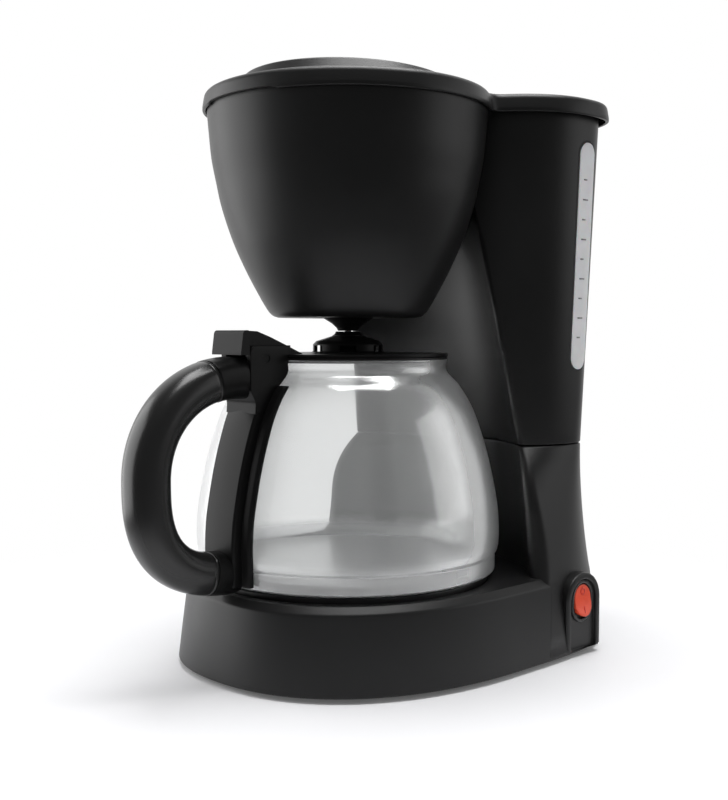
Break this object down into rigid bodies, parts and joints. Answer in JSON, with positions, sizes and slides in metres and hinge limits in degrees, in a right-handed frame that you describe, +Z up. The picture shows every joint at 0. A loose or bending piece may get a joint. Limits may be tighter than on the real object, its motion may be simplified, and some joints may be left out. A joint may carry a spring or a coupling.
{
  "type": "drip coffee maker",
  "caption": "Black drip coffee maker with a side water window, a hinged lid over its filter basket, a hot plate and a glass carafe with a loop handle.",
  "frame": {"origin": "on the carafe's axis at the surface the feet stand on, which is also the middle of the footprint", "axes": "+Z up, -Y to the front with the carafe's handle, +X the side with the switch and the water window"},
  "size_m": [0.1502, 0.2225, 0.246],
  "materials": {
    "black_plastic": "satin moulded black",
    "gloss_black": "glossy black",
    "switch_red": "glossy red",
    "window_clear": "milky clear",
    "clear_glass": "clear blown glass",
    "black_rubber": "soft matt",
    "red_silicone": "soft matt",
    "clear_silicone": "milky",
    "steel": "zinc-plated",
    "black_enamel": "non-stick coating",
    "cast_aluminium": "die-cast",
    "ceramic": "unglazed",
    "white_plastic": "natural nylon",
    "wire_cover": "braided sleeve"
  },
  "bodies": {
    "machine": {"base_shell": "black_plastic", "column_foot": "black_plastic", "bottom_cover": "black_plastic", "rubber_feet": "black_rubber", "cover_screws": "steel", "plate_seal": "black_rubber", "warming_plate": "black_enamel", "heating_element": "cast_aluminium", "heater_strap": "steel", "heater_nuts": "steel", "thermostat": "ceramic", "thermal_fuse": "ceramic", "switch_bezel": "black_plastic", "switch_body": "black_plastic", "wiring": "wire_cover", "cord_inlet": "black_rubber", "cold_hose": "clear_silicone", "check_valve": "white_plastic", "hot_hose": "clear_silicone", "hose_clamps": "steel", "upper_housing": "black_plastic", "brew_bowl": "black_plastic", "housing_screws": "steel", "water_window": "window_clear", "window_seal": "black_rubber", "riser_tube": "white_plastic", "riser_seal": "red_silicone", "drip_spout": "black_plastic", "valve_cage": "black_plastic", "lid_hinge_pin": "steel"},
    "brew_lid": {"brew_lid": "black_plastic", "spray_head": "black_plastic"},
    "filter_basket": {"filter_basket": "black_plastic"},
    "basket_handle": {"basket_handle": "black_plastic"},
    "drip_valve": {"valve_stem": "white_plastic", "valve_seal": "red_silicone", "valve_spring": "steel"},
    "carafe": {"carafe_glass": "clear_glass", "carafe_collar": "black_plastic", "carafe_handle": "black_plastic", "handle_grip": "gloss_black", "handle_screw": "steel", "carafe_lid_pin": "steel"},
    "carafe_lid": {"carafe_lid": "black_plastic"},
    "switch_rocker": {"switch_rocker": "switch_red"}
  },
  "joints": [
    {"name": "brew_lid_hinge", "type": "hinge", "parent": "machine", "child": "brew_lid", "pos_m": [0, 0.1047, 0.229], "axis": [-1, 0, 0], "range_deg": [0, 100]},
    {"name": "basket_lift", "type": "slide", "parent": "machine", "child": "filter_basket", "axis": [0, 0, 1], "range_m": [0, 0.08]},
    {"name": "basket_handle_hinge", "type": "hinge", "parent": "filter_basket", "child": "basket_handle", "pos_m": [0, 0, 0.216], "axis": [-1, 0, 0], "range_deg": [0, 90]},
    {"name": "carafe_slide", "type": "slide", "parent": "machine", "child": "carafe", "axis": [0, -1, 0], "range_m": [0, 0.2]},
    {"name": "carafe_lid_hinge", "type": "hinge", "parent": "carafe", "child": "carafe_lid", "pos_m": [0, -0.0525, 0.129], "axis": [1, 0, 0], "range_deg": [0, 20]},
    {"name": "drip_valve_drop", "type": "slide", "parent": "machine", "child": "drip_valve", "axis": [0, 0, -1], "range_m": [0, 0.0025], "deforming": ["valve_spring"]},
    {"name": "switch_rocker_hinge", "type": "hinge", "parent": "machine", "child": "switch_rocker", "pos_m": [0.0716, 0.07, 0.0235], "axis": [0, 1, 0], "range_deg": [0, 18]}
  ],
  "couplings": [
    {"joint": "basket_lift", "follows": "brew_lid_hinge", "m_per_rad": 0.0458},
    {"joint": "basket_handle_hinge", "follows": "brew_lid_hinge", "ratio": 0.9},
    {"joint": "carafe_lid_hinge", "follows": "carafe_slide", "rad_per_m": 1.745},
    {"joint": "drip_valve_drop", "follows": "carafe_slide", "ratio": 0.0125}
  ]
}
